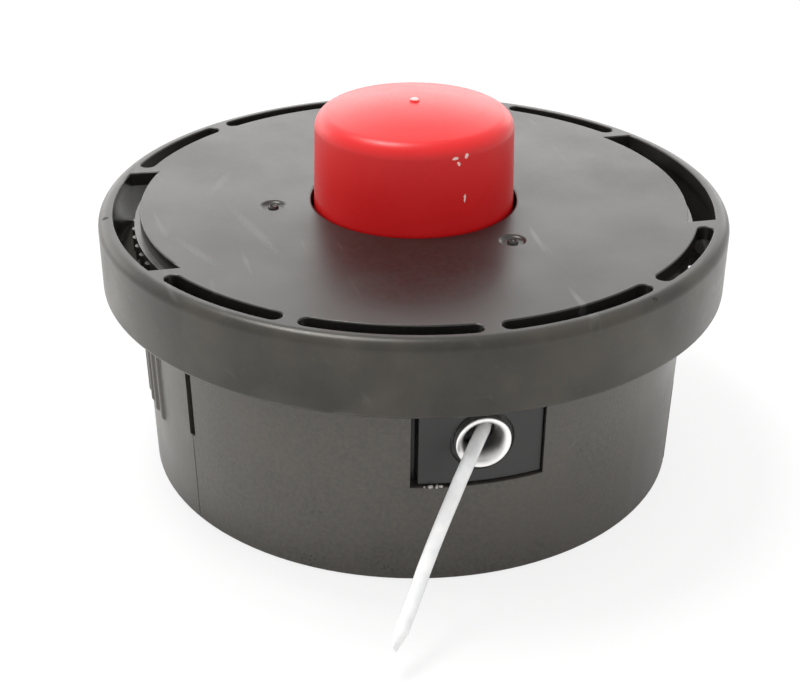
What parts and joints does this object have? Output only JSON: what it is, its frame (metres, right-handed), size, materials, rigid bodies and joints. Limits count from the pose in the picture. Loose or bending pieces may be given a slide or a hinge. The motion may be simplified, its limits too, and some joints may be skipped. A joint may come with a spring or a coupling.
{
  "type": "trimmer head",
  "caption": "Round bump-feed trimmer head: clip-on slotted cover over a drum housing, sprung push knob on a line spool, metal line eyelets and a left-hand threaded drive nut.",
  "frame": {"origin": "on the spin axis, in the plane of the housing's drive-side rim that the head stands on", "axes": "+Z along the spin axis from the drive side towards the bump knob; -Y out of the front line eyelet; X through the two cover latches"},
  "size_m": [0.115, 0.1302, 0.0688],
  "materials": {
    "housing_plastic": "warm black moulded polyamide, fine satin grain",
    "cover_plastic": "black moulded polyamide with a soft sheen and faint scuffs",
    "holder_plastic": "smooth cool black moulded plastic",
    "knob_plastic": "red moulded plastic, satin gloss, lightly scratched",
    "spool_plastic": "black moulded plastic",
    "line_nylon": "milky translucent nylon",
    "eyelet_metal": "bright polished",
    "spring_steel": "drawn spring wire",
    "zinc_steel": "zinc plated",
    "nut_steel": "turned, zinc plated"
  },
  "bodies": {
    "head": {"housing": "housing_plastic", "cover": "cover_plastic", "eyelet_front": "eyelet_metal", "eyelet_rear": "eyelet_metal", "eyelet_holder_front": "holder_plastic", "eyelet_holder_rear": "holder_plastic", "line_end": "line_nylon", "spring_washer": "zinc_steel", "drive_nut": "nut_steel", "nut_washer": "zinc_steel", "nut_retaining_ring": "spring_steel"},
    "spring_seat": {"spring_cup": "zinc_steel", "feed_spring": "spring_steel"},
    "reel": {"spool": "spool_plastic", "upper_line_winding": "line_nylon", "lower_line_winding": "line_nylon", "bump_knob": "knob_plastic", "knob_retaining_ring": "spring_steel"}
  },
  "joints": [
    {"name": "bump_press", "type": "slide", "parent": "head", "child": "spring_seat", "axis": [0, 0, 1], "range_m": [-0.006, 0], "stiffness_N_per_m": 1500, "springref_m": 0.006, "deforming": ["feed_spring"]},
    {"name": "reel_turn", "type": "hinge", "parent": "spring_seat", "child": "reel", "pos_m": [0, 0, 0.03], "axis": [0, 0, 1], "continuous": true}
  ]
}
